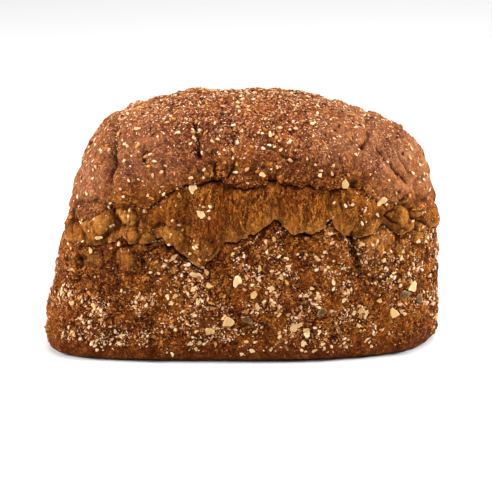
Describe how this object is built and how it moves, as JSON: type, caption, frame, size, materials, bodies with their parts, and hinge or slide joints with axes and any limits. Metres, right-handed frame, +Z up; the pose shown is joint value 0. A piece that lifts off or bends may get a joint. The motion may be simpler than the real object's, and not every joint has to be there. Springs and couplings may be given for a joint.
{
  "type": "rye bread loaf",
  "caption": "Whole tin-baked multigrain rye loaf with a domed seeded crown, a torn paler band above the tin line and a flat base.",
  "frame": {"origin": "centre of the flat base, on the surface that the loaf stands on", "axes": "+X along the loaf's length, +Y from the seen side to the far side, +Z up"},
  "size_m": [0.2412, 0.1214, 0.1516],
  "materials": {
    "rye_crust": "matte, baked",
    "oat_flake": "matte, floury",
    "sesame": "satin, toasted",
    "sunflower_kernel": "satin, toasted",
    "golden_seed": "satin",
    "brown_seed": "satin",
    "bran": "matte"
  },
  "bodies": {
    "root": {"loaf": "rye_crust"}
  },
  "joints": []
}
